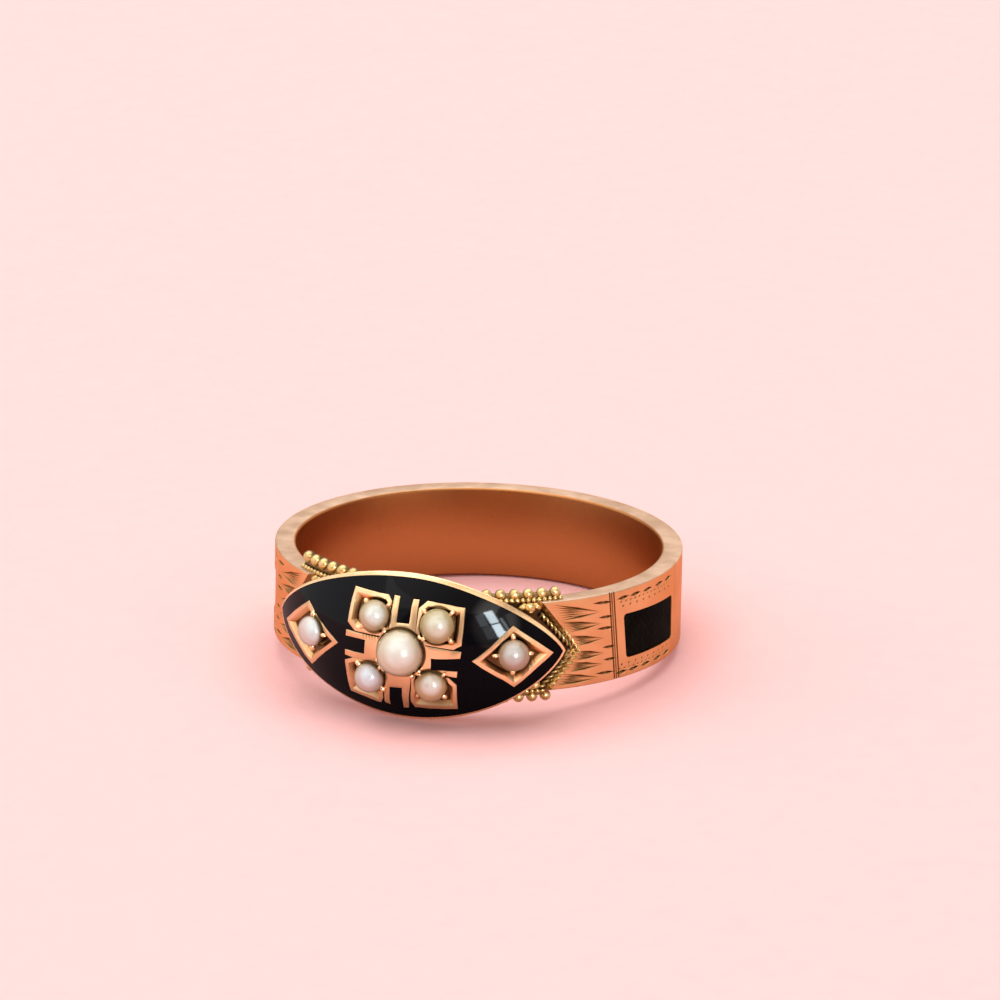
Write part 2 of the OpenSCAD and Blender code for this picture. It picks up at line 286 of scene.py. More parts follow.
def feed(flow, shader, socket, value):
    flow.tree.links.new(value.socket, shader.inputs[socket])


def flat_place(flow):
    """The flat place that each vertex had before it was bent, in millimetres."""
    return flow.node("ShaderNodeAttribute", {"attribute_name": "flat"}, {}, "Vector")


def in_millimetres(flow):
    """The place in the finished ring, in millimetres."""
    return flow.node("ShaderNodeTexCoord", {}, {}, "Object").stretched((1 / MM, 1 / MM, 1 / MM))


def bumped(flow, height, distance):
    """A normal that follows a height pattern; the distance is in millimetres."""
    return flow.node("ShaderNodeBump", {}, {"Height": height, "Distance": distance * MM}, "Normal")


# %% [markdown]
# ## Rose gold of the band
# The outside of the band is satin rose gold, worn soft by a finger's neighbours, with dark tarnish left
# in the cuts. Its upper and lower faces are greyer and duller. The inside is polished and painted a
# darker gold, as the shade within the hoop. Inside the V the neck's floor is painted near-black, as the
# shadow under the head.
# The flat attribute says where each of these is: its height tells the cuts and the inside,
# its y tells the faces at the two sides, and x and y together tell the neck inside the V.

# %% Band finish
def band_finish():
    made, flow, shader = new_finish("satin_rose_gold", Metallic=1.0, Specular_Tint=(0.82, 0.58, 0.45, 1))
    flat = flat_place(flow)
    height = flat.axis(2)
    edge = abs(flat.axis(1)).between(BAND_W / 2 - 0.05, BAND_W / 2 - 0.01)
    inside = height.between(-0.85, -0.97)
    v_line = abs(flat.axis(0)) + 0.76 * abs(flat.axis(1) + 0.25)
    neck = v_line.between(8.36, 8.28) * (1 - inside) * (1 - edge)
    outside = (1 - inside) * (1 - edge) * (1 - neck)
    cut = height.between(-0.004, -0.03) * outside
    deep = height.between(-0.035, -0.08) * outside
    place = in_millimetres(flow)
    cloud = place.noise(0.55, 3)
    grain = place.noise(9, 3)
    satin = cloud.between(0.3, 0.7).mix((0.65, 0.35, 0.155, 1), (0.72, 0.415, 0.20, 1))
    dull = place.noise(0.9, 4).between(0.3, 0.75).mix((0.52, 0.385, 0.275, 1), (0.71, 0.55, 0.42, 1))
    colour = edge.mix(satin, dull)
    # Painted shade: the inside is given a darker gold, as the hoop's own shade.
    colour = inside.mix(colour, (0.44, 0.18, 0.06, 1))
    colour = cut.mix(colour, (0.32, 0.17, 0.06, 1))
    colour = deep.mix(colour, (0.13, 0.07, 0.025, 1))
    # The neck's step is a browner gold, and its floor is painted near-black as the shadow under the
    # head.
    colour = (neck * height.between(0, -0.06)).mix(colour, (0.60, 0.39, 0.18, 1))
    colour = (neck * height.between(-0.28, -0.40)).mix(colour, (0.08, 0.05, 0.022, 1))
    feed(flow, shader, "Base Color", colour)
    feed(flow, shader, "Roughness", 0.30 + 0.10 * grain + 0.14 * edge + 0.16 * cut)
    feed(flow, shader, "Normal", bumped(flow, grain + 0.6 * cloud, 0.010))
    return made


band_gold = band_finish()

# %% [markdown]
# ## Where the pearls sit
# Seven half pearls: one in the middle, four round it and one near each point.
# Each row has the pearl's place on the flat head, its radius, how far it is pressed flat, and
# the colours of its middle and its rim. No two pearls on such a ring match, so each has its own.

# %% Places of the pearls
CENTRE = (0.06, 0.09)
PEARLS = [
    ("centre_pearl", *CENTRE, 1.15, 1, (0.88, 0.96, 0.89, 1), (0.61, 0.545, 0.395, 1)),
    ("top_left_pearl", -1.40, 1.63, 0.76, 1, (0.84, 0.97, 0.92, 1), (0.48, 0.385, 0.22, 1)),
    ("top_right_pearl", 1.80, 1.48, 0.84, 1, (0.79, 0.83, 0.68, 1), (0.45, 0.37, 0.17, 1)),
    ("bottom_left_pearl", -1.57, -1.38, 0.75, 1, (0.75, 0.91, 1.0, 1), (0.54, 0.46, 0.40, 1)),
    ("bottom_right_pearl", 1.54, -1.44, 0.78, 0.9, (0.79, 0.80, 0.725, 1), (0.47, 0.31, 0.135, 1)),
    ("left_pearl", -5.17, 0.12, 0.74, 0.75, (0.80, 0.98, 0.99, 1), (0.62, 0.56, 0.50, 1)),
    ("right_pearl", 5.46, 0.12, 0.77, 1, (0.62, 0.665, 0.63, 1), (0.40, 0.28, 0.19, 1)),
]
print(len(PEARLS), "pearls")

# %% [markdown]
# ## Gold of the head
# The rim and the cells that hold the pearls are given a paler, brighter gold than the band. Towards the
# lower left that gold is painted deeper, as shade.
# The little wells are deeper still. Their walls are painted darker lower down, their floors near black,
# and a dark line of painted shadow is drawn round each pearl, so the cells' finish measures how far a
# point is from the nearest pearl.
# Noise that is stretched one way gives the fine marks of a file.

# %% Head finish
def beside_pearls(flat):
    """How far a point of the flat head lies outside the nearest pearl."""
    on_plane = flat.node("ShaderNodeVectorMath", {"operation": "MULTIPLY"}, {0: flat, 1: (1, 1, 0)})
    nearest = None
    for name, s, z, radius, press, middle, rim in PEARLS:
        gap = on_plane.distance_to((s, z, 0)) - radius
        nearest = gap if nearest is None else nearest.maths("MINIMUM", nearest, gap)
    return nearest


def head_finish(name, shade_from, shade_to, rough, cells):
    """Gold painted with shade towards the lower left of the head. Cells also get painted shade in their
    wells and round their pearls.
    """
    made, flow, shader = new_finish(name, Metallic=1.0)
    flat = flat_place(flow)
    cloud = flat.noise(0.9, 3)
    grain = flat.noise(14, 3)
    colour = cloud.between(0.3, 0.7).mix((0.88, 0.56, 0.29, 1), (0.93, 0.64, 0.36, 1))
    shaded_gold = cloud.between(0.3, 0.7).mix((0.63, 0.39, 0.205, 1), (0.71, 0.455, 0.245, 1))
    # Painted shade: the gold darkens towards the lower left.
    side = flat.axis(1) + 0.6 * flat.axis(0)
    colour = side.between(shade_from, shade_to).mix(colour, shaded_gold)
    if cells:
        height = flat.axis(2)
        # Painted shade: darker down the cells' walls, near black in the wells, and a dark line round
        # each pearl.
        colour = height.between(0.0, -0.10).mix(colour, (0.60, 0.34, 0.15, 1))
        colour = height.between(-0.13, -0.20).mix(colour, (0.10, 0.055, 0.022, 1))
        colour = beside_pearls(flat).between(0.125, 0.045).mix(colour, (0.14, 0.08, 0.03, 1))
    feed(flow, shader, "Base Color", colour)
    file_marks = flat.stretched((9, 2.2, 2.2)).noise(1, 3)
    feed(flow, shader, "Roughness", rough + 0.08 * grain + 0.08 * file_marks)
    marks = 0.5 * grain + cloud + 1.5 * file_marks
    feed(flow, shader, "Normal", bumped(flow, marks, 0.008 if cells else 0.002))
    return made


rim_gold = head_finish("bright_rose_gold", -3.0, -4.6, 0.20, False)
cell_gold = head_finish("cell_rose_gold", 0.9, -1.6, 0.22, True)

# %% [markdown]
# ## Yellow gold of the beads and ropes
# The soldered trim on the shoulders is a greener, yellower gold than the ring.
# Each trim piece says in its flat attribute how high a point stands, from -1 to 1, and the colour is
# painted dark where that is low, as the shade between the beads and in the twist of the wires.

# %% Trim finish
def trim_finish():
    made, flow, shader = new_finish("yellow_gold", Metallic=1.0)
    place = in_millimetres(flow)
    cloud = place.noise(1.6, 3)
    colour = cloud.between(0.35, 0.65).mix((0.53, 0.37, 0.15, 1), (0.68, 0.51, 0.23, 1))
    # Painted shade: the low part of each bead, wire and leaf is darkened.
    shaded_underside = flat_place(flow).axis(2).between(0.35, -0.35)
    colour = shaded_underside.mix(colour, (0.13, 0.085, 0.035, 1))
    feed(flow, shader, "Base Color", colour)
    feed(flow, shader, "Roughness", 0.27 + 0.14 * cloud + 0.15 * shaded_underside)
    feed(flow, shader, "Normal", bumped(flow, place.noise(9, 2), 0.012))
    return made


trim_gold = trim_finish()

# %% [markdown]
# ## Black enamel
# Enamel is black glass melted into a recess and polished down. It is almost a mirror,
# with a slight waviness that bends what it reflects.
# Its polish is a coat over the black. The coat is made strongest at the upper left, thin at the lower
# right, and strong again in one spot above the right lozenge, where a window shows; this shaping of the
# gloss places a painted sheen and a painted reflection.

# %% Enamel finish
BRIGHT_SPOT = (4.62, 1.62)


def enamel_finish():
    made, flow, shader = new_finish("black_glass", Specular_IOR_Level=0.02, Coat_Roughness=0.06)
    flat = flat_place(flow)
    wave = flat.noise(0.45, 2)
    speck = flat.noise(5, 4)
    # Painted sheen: the coat's strength is shaped to show a sheen at the upper left and the window's
    # reflection at the bright spot.
    painted_sheen = (0.35 * flat.axis(1) - 0.3 * flat.axis(0)).between(-0.3, 1.6)
    from_spot = flat.distance_to((*BRIGHT_SPOT, 0))
    feed(flow, shader, "Coat Weight", 0.035 + 0.17 * painted_sheen + 0.75 * from_spot.between(1.4, 0.8))
    feed(flow, shader, "Base Color", speck.mix((0.0012, 0.0012, 0.002, 1), (0.004, 0.004, 0.006, 1)))
    feed(flow, shader, "Roughness", 0.03 + 0.05 * speck)
    feed(flow, shader, "Normal", bumped(flow, wave + 0.02 * speck, 0.02))
    return made


black_enamel = enamel_finish()

# %% [markdown]
# ## Pearls
# A pearl is satin with a gloss over it. Its middle is nearly white, and towards its rim it turns cream,
# then olive and dark; this darkening towards the rim is painted shade over the pearl's own tint. Round
# its seat it is painted dark, as the shadow where it meets the gold.
# Layer Weight gives the first change and the height on the pearl the second, and each pearl
# is given its own tint.

# %% Pearl finish
def pearl_finish(name, middle, rim):
    made, flow, shader = new_finish(name, Coat_Weight=0.6, Coat_Roughness=0.13, Specular_IOR_Level=0.5)
    cloud = in_millimetres(flow).noise(1.9, 4)
    facing = flow.node("ShaderNodeLayerWeight", {}, {"Blend": 0.45}, "Facing")
    seat = flat_place(flow).axis(2).between(0.38, 0.08)
    colour = (0.24 * cloud.between(0.42, 0.62)).mix(middle, rim)
    # Painted shade: darker towards the rim as the pearl turns away, and dark at its seat.
    colour = facing.between(0.0, 0.33).mix(colour, rim)
    colour = (0.9 * facing.between(0.35, 0.85)).mix(colour, (0.20, 0.135, 0.05, 1))
    colour = seat.mix(colour, (0.10, 0.07, 0.03, 1))
    feed(flow, shader, "Base Color", colour)
    feed(flow, shader, "Roughness", 0.26 + 0.12 * cloud)
    feed(flow, shader, "Normal", bumped(flow, cloud, 0.02))
    return made


# %% [markdown]
# ## Dark windows
# Each window holds finely plaited hair. From arm's length it reads as nearly black, with a
# faint weave when one looks closer. Two sine waves make the plait: one slants the strands, and
# the other lays them side by side.

# %% Hair finish
def hair_finish():
    made, flow, shader = new_finish(
        "plaited_hair", Coat_Weight=0.008, Coat_Roughness=0.1, Roughness=0.7, Specular_IOR_Level=0.02)
    flat = flat_place(flow)
    along = flat.axis(0)
    across = flat.axis(1)
    slant = abs((across * 7.5).sine())
    strand = (along * 16 + slant * 5).sine()
    mottle = flat.noise(1.1, 4)
    weave = 0.4 * strand.between(-0.4, 1) + 0.6 * mottle.between(0.4, 0.7)
    colour = weave.mix((0.002, 0.002, 0.0015, 1), (0.008, 0.008, 0.005, 1))
    feed(flow, shader, "Base Color", colour)
    feed(flow, shader, "Normal", bumped(flow, strand, 0.004))
    return made


hair = hair_finish()

# %% [markdown]
# ## Cutting
# A graver leaves a short groove, deep where it bit and running out to nothing.
# A narrow pyramid, point down, is the same shape. All the pyramids of the band are gathered
# in one mesh and taken away in one go with an exact boolean, while the strip is flat.

# %% Cutting tools
def box_into(bm, low, high):
    low = Vector(low)
    high = Vector(high)
    matrix = Matrix.Translation((low + high) / 2) @ Matrix.Diagonal((*(high - low), 1))
    return bmesh.ops.create_cube(bm, size=1, matrix=matrix)["verts"]


def pull(bm, faces, height):
    """Pulls faces up, with walls behind them. Gives the corners and faces that moved."""
    pulled = bmesh.ops.extrude_face_region(bm, geom=faces, use_keep_orig=True)["geom"]
    moved = [g for g in pulled if isinstance(g, bmesh.types.BMVert)]
    bmesh.ops.translate(bm, vec=(0, 0, height), verts=moved)
    return moved, [g for g in pulled if isinstance(g, bmesh.types.BMFace)]


def prism_into(bm, corners, low, high):
    """A prism that stands on a flat outline."""
    foot = bm.faces.new([bm.verts.new((x, y, low)) for x, y in corners])
    lifted, top = pull(bm, [foot], high - low)
    around = {f for v in lifted + list(foot.verts) for f in v.link_faces}
    bmesh.ops.recalc_face_normals(bm, faces=list(around))
    return top[0]


GRAVER_ABOVE = 0.04


def graver_cut(bm, start, end, width, depth, bite=0.3):
    """A cut from start to end. It is deepest at the share called bite of its length."""
    above = GRAVER_ABOVE
    grow = (depth + above) / depth
    start = Vector((*start, 0))
    end = Vector((*end, 0))
    run = end - start
    made = bmesh.ops.create_cone(bm, cap_ends=True, segments=4, radius1=0, radius2=1, depth=1)["verts"]
    tip = min(made, key=lambda v: v.co.z)
    tip.co.x = 2 * bite - 1
    size = Matrix.Diagonal((run.length / 2 * grow, width / 2 * grow, depth + above, 1))
    turn = Vector((1, 0, 0)).rotation_difference(run).to_matrix().to_4x4()
    middle = Matrix.Translation((start + end) / 2 + Vector((0, 0, (above - depth) / 2)))
    bmesh.ops.transform(bm, matrix=middle @ turn @ size, verts=made)


def leaf_cut(bm, start, end, width, depth):
    """Two cuts over each other, deepest early and late, make a fuller leaf."""
    for bite in (0.3, 0.7):
        graver_cut(bm, start, end, width, depth, bite)


def cut_away(bm, knife):
    """Takes one mesh away from another with an exact boolean."""
    holders = []
    for name, source in (("body", bm), ("knife", knife)):
        mesh = bpy.data.meshes.new(name)
        source.to_mesh(mesh)
        source.free()
        holders.append(bpy.data.objects.new(name, mesh))
        bpy.context.scene.collection.objects.link(holders[-1])
    body, blade = holders
    cut = body.modifiers.new("cut", "BOOLEAN")
    cut.operation = "DIFFERENCE"
    cut.solver = "EXACT"
    cut.use_self = True
    cut.object = blade
    result = bpy.data.meshes.new_from_object(body.evaluated_get(bpy.context.evaluated_depsgraph_get()))
    out = bmesh.new()
    out.from_mesh(result)
    bpy.data.meshes.remove(result)
    for holder in holders:
        bpy.data.meshes.remove(holder.data)
    return out


# %% [markdown]
# ## The band's strip
# The strip is as long as once round the band. Its inner edges are eased with a small
# bevel and its outer edges with a smaller one, as a finger would want.
# In a script the bevel operator's defaults differ from the editor's, so soften names them all.

# %% Strip
INNER_EASE = 0.12
OUTER_EASE = 0.05
TOUCH = 1e-4


def soften(bm, edges, size, segments):
    """Rounds edges off with a bevel."""
    bmesh.ops.bevel(
        bm, geom=list(edges), offset=size, segments=segments, affect="EDGES", profile=0.5, material=-1)


def on_side(vert, height):
    """Whether a corner of the strip lies at this height on one of its two sides."""
    return abs(vert.co.z - height) < TOUCH and abs(abs(vert.co.y) - BAND_W / 2) < TOUCH


def flat_strip():
    strip = bmesh.new()
    low = (-HALF_TURN, -BAND_W / 2, -BAND_T)
    box_into(strip, low, (HALF_TURN, BAND_W / 2, 0))
    for height, size in ((-BAND_T, INNER_EASE), (0, OUTER_EASE)):
        along = [e for e in strip.edges if abs(e.verts[0].co.x - e.verts[1].co.x) > 1]
        edges = [e for e in along if all(on_side(v, height) for v in e.verts)]
        soften(strip, edges, size, 3)
    return strip


strip = flat_strip()
print("strip", len(strip.faces), "faces")

# %% [markdown]
# ## The shoulders and windows
# The band steps down to a lower neck under the head. The step runs in a V, further from
# the head at its middle than at the edges. Each side also has a sunk window.

# %% Neck and windows
V_EDGE = [(37.0, 2.21), (48.3, -0.25), (39.9, -2.21)]
STEP_SLOPE = 0.28
WINDOW = [(63.9, 0.95), (89.9, 0.80), (90.3, -1.36), (65.4, -1.29)]
WINDOW_DEPTH = 0.45
WINDOW_CORNER = 0.2
PAST_SHARE = 0.4


def past_edge(point, middle):
    """The V's line carried on past the edge of the band."""
    (a, z), (ma, mz) = point, middle
    return (a + (a - ma) * PAST_SHARE, z + (z - mz) * PAST_SHARE)


def neck_outline():
    top = past_edge(V_EDGE[0], V_EDGE[1])
    bottom = past_edge(V_EDGE[2], V_EDGE[1])
    right_side = [bottom, V_EDGE[1], top]
    left_side = [(-a, z) for a, z in reversed(right_side)]
    return [(round_band(a), z) for a, z in right_side + left_side]


def window_outline(side):
    corners = [(round_band(side * a), z) for a, z in WINDOW]
    return corners if side < 0 else corners[::-1]


def rounded_prism(bm, corners, low, high, radius):
    prism_into(bm, corners, low, high)
    edges = [e for e in bm.edges if abs(e.verts[0].co.z - e.verts[1].co.z) > (high - low) / 2]
    soften(bm, edges, radius, 5)


def join_into(bm, other):
    """Copies one bmesh into another."""
    carrier = bpy.data.meshes.new("carrier")
    other.to_mesh(carrier)
    other.free()
    bm.from_mesh(carrier)
    bpy.data.meshes.remove(carrier)


def neck_knife():
    """The neck's space. Its lower part narrows, which leaves a sloping step round the V."""
    space = bmesh.new()
    top = prism_into(space, neck_outline(), 0, 1)
    foot = min((f for f in space.faces if f != top), key=lambda f: f.calc_center_median().z)
    bmesh.ops.inset_individual(
        space, faces=[foot], thickness=STEP_SLOPE, depth=NECK_STEP, use_even_offset=True)
    return space


knife = neck_knife()
for side in (-1, 1):
    hole = bmesh.new()
    rounded_prism(hole, window_outline(side), -WINDOW_DEPTH, 1, WINDOW_CORNER)
    join_into(knife, hole)
print("knife of the neck and windows", len(knife.faces), "faces")

# %% [markdown]
# ## The engraving
# From the V outwards come six darts of seven rays each, six short counter cuts, a pair of
# slanting grooves with a shallow hollow between them, then the window with a row of leaf cuts,
# ticks and small pricks above and below it, and one more pair of grooves.
# Each dart is given by its tip and by the first and last of its rays. Those two are long and
# meet at the tip, and finer ones fan out between them.

# %% Engraving
DARTS = [
    (55.6, 1.36, 40.6, 2.08, 42.6, 1.22), (55.9, 0.77, 43.0, 1.18, 45.6, 0.58),
    (56.5, 0.02, 45.6, 0.44, 48.0, -0.16), (57.0, -0.75, 48.4, -0.38, 47.4, -0.88),
    (56.5, -1.27, 46.4, -0.92, 45.4, -1.42), (55.4, -1.90, 43.8, -1.44, 41.0, -2.0),
]
COUNTER_CUTS = [
    (53.0, 1.84, 59.4, 1.74), (54.9, 1.07, 59.8, 1.02), (54.4, 0.52, 60.0, 0.46),
    (56.6, -0.46, 61.0, -0.52), (57.0, -1.09, 61.4, -1.14), (54.4, -1.71, 60.6, -1.78),
]
LEAF_STARTS = [61.5, 66.6, 72.2, 78.5, 84.2]
LEAF_LENGTH = 4.3
GROOVES = [
    (59.7, 1.5, 0.14), (61.3, 1.6, 0.14), (60.5, 1.55, 0.19), (93.2, 1.7, 0.14), (94.8, 1.7, 0.14),
]
GROOVE_R = 0.14
GROOVE_RISE = 0.05
GROOVE_PAST = 0.3
RAYS = 7
LONG_RAY = (1, 0.145, 0.07)
BORDERS = [(1.79, 1.60, 1.37), (-1.93, -1.76, -1.56)]


def dart_into(bm, side, dart):
    tip_a, tip_z, a1, z1, a2, z2 = dart
    for i in range(RAYS):
        outer = i in (0, RAYS - 1)
        share = i / (RAYS - 1)
        a = a1 + (a2 - a1) * share - 1
        z = z1 + (z2 - z1) * share
        reach, width, depth = LONG_RAY if outer else (0.72 - 0.12 * (i % 2), 0.085, 0.045)
        end = (round_band(side * (a + (tip_a - a) * reach)), z + (tip_z - z) * reach)
        graver_cut(bm, (round_band(side * a), z), end, width, depth, 0.5)


def groove_into(bm, side, a, slant, radius):
    """A V groove right across the band. A larger radius only makes it wider."""
    top = Vector((round_band(side * (a - slant)), BAND_W / 2 + GROOVE_PAST, 0))
    bottom = Vector((round_band(side * (a + slant)), -BAND_W / 2 - GROOVE_PAST, 0))
    run = bottom - top
    made = bmesh.ops.create_cone(
        bm, cap_ends=True, segments=3, radius1=radius, radius2=radius, depth=run.length)["verts"]
    lie = Matrix.Rotation(pi / 2, 4, "X")
    turn = Vector((0, -1, 0)).rotation_difference(run).to_matrix().to_4x4()
    point_down = Matrix.Rotation(pi, 4, "Z")
    flatter = Matrix.Diagonal((1, 1, GROOVE_R / radius * (1 if radius <= GROOVE_R else 0.75), 1))
    middle = Matrix.Translation((top + bottom) / 2 + Vector((0, 0, GROOVE_RISE)))
    bmesh.ops.transform(bm, matrix=middle @ flatter @ turn @ lie @ point_down, verts=made)


def borders_into(bm, side):
    """Leaf cuts, ticks and pricks along the window's two sides."""
    for leaf_z, tick_z, prick_z in BORDERS:
        for a in LEAF_STARTS:
            ends = (round_band(side * a), leaf_z), (round_band(side * (a + LEAF_LENGTH)), leaf_z + 0.02)
            leaf_cut(bm, *ends, 0.2, 0.1)
        for i in range(14):
            a = 62.4 + 1.9 * i
            ends = (round_band(side * a), tick_z - 0.1), (round_band(side * (a + 0.9)), tick_z + 0.09)
            graver_cut(bm, *ends, 0.12, 0.075, 0.5)
        for i in range(9):
            a = 63.7 + 2.9 * i
            ends = (round_band(side * (a - 0.5)), prick_z), (round_band(side * (a + 0.5)), prick_z)
            graver_cut(bm, *ends, 0.17, 0.08, 0.5)


for side in (-1, 1):
    for dart in DARTS:
        dart_into(knife, side, dart)
    for a, z, end_a, end_z in COUNTER_CUTS:
        leaf_cut(knife, (round_band(side * a), z), (round_band(side * end_a), end_z), 0.17, 0.09)
    for groove in GROOVES:
        groove_into(knife, side, *groove)
    borders_into(knife, side)
print("knife", len(knife.faces), "faces")

# %% [markdown]
# ## Rolling the band
# The cut strip is sliced every degree, so that it has edges to bend at.
# Its two end faces are dropped before it is rolled, and its ends are then merged, which
# makes one closed band with no seam.

# %% Band
strip = cut_away(strip, knife)
slices(strip, 0, HALF_TURN, HALF_TURN / 180)
ends = [f for f in strip.faces if all(abs(abs(v.co.x) - HALF_TURN) < 10 * TOUCH for v in f.verts)]
bmesh.ops.delete(strip, geom=ends, context="FACES_ONLY")
bend(strip, rolled)
bmesh.ops.remove_doubles(strip, verts=strip.verts, dist=2 * TOUCH)
finish_piece("engraved_band", strip, band_gold)

# %% [markdown]
# ## The head's outline
# Seen from above its middle, the head is a pointed oval: two arcs that meet in points.
# The outline is worked out from the arcs' radius, filled out a little at the belly, and its
# left point is drawn longer and higher, as it came from the hand.

# %% Head outline
OUTLINE_STEPS = 44
BELLY = 0.85
LEFT_LONGER = 0.45
LEFT_HIGHER = 0.3


def by_hand(s, z):
    """The left point is a little longer than the right one, and sits a little higher."""
    left = max(0, -s / HEAD_HALF_S)
    return s - LEFT_LONGER * left ** 2, z + LEFT_HIGHER * left ** 2


def navette(length, height):
    """The pointed oval for a half length and a half height, anticlockwise."""
    arc = (length ** 2 + height ** 2) / (2 * height)
    upper = []
    for i in range(-OUTLINE_STEPS, OUTLINE_STEPS + 1):
        s = length * i / OUTLINE_STEPS
        share = max(0, (sqrt(arc ** 2 - s ** 2) - arc + height) / height)
        upper.append((s, height * share ** BELLY))
    lower = [(s, -z) for s, z in upper[1:-1]]
    return [by_hand(s, z) for s, z in lower + upper[::-1]]


print("outline", len(navette(HEAD_HALF_S, HEAD_HALF_H)), "corners")

# %% [markdown]
# ## The head's body
# The head is a thin domed plate with a sharp lip all round, and a narrower core joins it to
# the neck.
# The plate starts as the flat outline pulled up by the lip's thickness. Insetting its lower
# face while moving it down makes the sloping underside. A recess is cut for the enamel, and
# one bend then domes the whole plate.

# %% Head body
RIM_POINT_W = 0.16
RIM_TOP = 0.055
RIM_BOTTOM = 0.04
RIM_RIGHT = 0.09
ENAMEL_DEPTH = 0.4
LIP = 0.18
LIP_EASE = 0.05
PLATE_T = 0.62
PLATE_IN = 0.1
CORE_IN = 1.5
CORE_IN_POINT = 3.0
CORE_FRONT = -0.5
CORE_BACK = -1
NECK_INSIDE_R = 9.0


def field_outline(clear):
    """The edge of the enamel's field. The rim is widest at the upper right and thin below."""
    edge = []
    for s, z in navette(HEAD_HALF_S - RIM_POINT_W - clear, HEAD_HALF_H - clear / 2):
        rim = RIM_TOP + RIM_RIGHT * max(0, s / HEAD_HALF_S) ** 2 if z > 0 else RIM_BOTTOM
        edge.append((s, z * (1 - rim)))
    return edge


def head_plate():
    plate = bmesh.new()
    top = prism_into(plate, navette(HEAD_HALF_S, HEAD_HALF_H), -LIP, 0)
    under = min((f for f in plate.faces if len(f.verts) > 4), key=lambda f: f.calc_center_median().z)
    soften(plate, top.edges, LIP_EASE, 4)
    bmesh.ops.inset_individual(
        plate, faces=[under], thickness=PLATE_IN, depth=PLATE_T - LIP, use_even_offset=True)
    recess = bmesh.new()
    prism_into(recess, field_outline(0), -ENAMEL_DEPTH, 1)
    plate = cut_away(plate, recess)
    slices(plate, 0, reach=8.7, step=0.3)
    slices(plate, 1, reach=3.7, step=0.3)
    bend(plate, domed)
    return plate


def core_shape(p):
    """The front follows the dome, and the back goes straight on into the neck."""
    if p.z > (CORE_FRONT + CORE_BACK) / 2:
        return domed(p)
    front = domed(Vector((p.x, p.y, 0)))
    return Vector((front.x, -sqrt(NECK_INSIDE_R ** 2 - front.x ** 2), front.z))


def head_core():
    core = bmesh.new()
    outline = navette(HEAD_HALF_S - CORE_IN_POINT, HEAD_HALF_H - CORE_IN)
    prism_into(core, outline, CORE_BACK, CORE_FRONT)
    slices(core, 0, reach=5.4, step=0.4)
    bend(core, core_shape)
    return core


finish_piece("head_rim", head_plate(), rim_gold)
finish_piece("head_core", head_core(), rim_gold)

# %% [markdown]
# ## The cells' outlines
# Thin gold stands in the enamel: four U-shaped frets and four boxes round the middle,
# and a lozenge near each point.
# They were filed by hand and no two are alike. A rectangle that is copied round would look
# stamped, so each outline's corners are given one by one.

# %% Cell outlines
FRETS = [
    [(-0.60, 2.65), (-0.25, 2.64), (-0.25, 1.48), (0.38, 1.48),
     (0.44, 2.60), (0.78, 2.59), (0.74, 0.9), (-0.62, 0.9)],
    [(-2.97, -0.54), (-2.96, -0.25), (-1.83, -0.26), (-1.79, 0.42),
     (-2.93, 0.42), (-2.94, 0.74), (-0.9, 0.66), (-0.9, -0.66)],
    [(2.96, 0.31), (2.93, -0.04), (1.54, -0.09), (1.55, -0.66),
     (2.81, -0.66), (2.80, -0.99), (0.9, -0.78), (0.9, 0.56)],
    [(0.28, -2.89), (-0.02, -2.92), (0.04, -1.77), (-0.61, -1.81),
     (-0.73, -2.85), (-1.04, -2.74), (-0.74, -0.9), (0.60, -0.9)],
]
BOXES = [
    [(-2.95, 2.71), (-2.88, 1.11), (-2.44, 0.76), (-0.62, 0.72), (-0.66, 2.38), (-0.90, 2.63)],
    [(3.15, 2.34), (1.22, 2.55), (0.82, 2.22), (0.72, 0.62), (2.60, 0.40), (2.98, 0.62)],
    [(-3.02, -2.49), (-1.27, -2.80), (-1.04, -2.45), (-0.74, -0.66), (-2.50, -0.56), (-2.96, -0.77)],
    [(2.87, -2.77), (2.78, -1.37), (2.40, -1.02), (0.62, -0.72), (0.44, -2.45), (0.60, -2.82)],
]
LOZENGES = [
    [(3.47, -0.16), (5.62, -1.57), (7.55, 0.02), (5.50, 1.50)],
    [(-7.70, 0.0), (-5.53, -1.70), (-3.37, -0.05), (-5.76, 1.45)],
]


def clockwise(corners):
    area = sum(x1 * y2 - x2 * y1 for (x1, y1), (x2, y2) in zip(corners, corners[1:] + corners[:1]))
    return area < 0


print(len(FRETS), "frets,", len(BOXES), "boxes and", len(LOZENGES), "lozenges")

# %% [markdown]
# ## The cells
# Each outline is pulled up to a cell with eased edges. The boxes and lozenges are hollow:
# their top faces are inset to leave a wall, then inset again while they move down, which makes
# facets that slope in to a pearl.
# A round seat is cut for the centre pearl. At the end a slow noise moves every vertex by a few
# hundredths of a millimetre, as a file does. The noise is seeded, so each run gives the same.

# %% Cells
CELL_FOOT = -0.42
CELL_EASE = 0.035
FRET_TOP = 0.03
BOX_TOP = 0.045
BOX_WALL = 0.17
LOZENGE_TOP = 0.04
LOZENGE_WALL = 0.18
WELL_DEPTH = 0.24
WELL_SLOPE = 0.2
WELL_EASE = 0.02
SEAT_R = 1.27
SEAT_DEPTH = 0.14
SEAT_FOOT_R = 1.37
COLLAR_R = 1.22
COLLAR_T = 0.05
COLLAR_H = 0.28
ROUND_STEPS = 64
HAND_SHAKE = 0.035
HAND_WAVES = 1.6
HAND_SEED = 7


def sink(bm, face, thickness, depth=0):
    """Draws a smaller face inside a face, and lowers it."""
    bmesh.ops.inset_individual(
        bm, faces=[face], thickness=thickness, depth=-depth, use_even_offset=True)


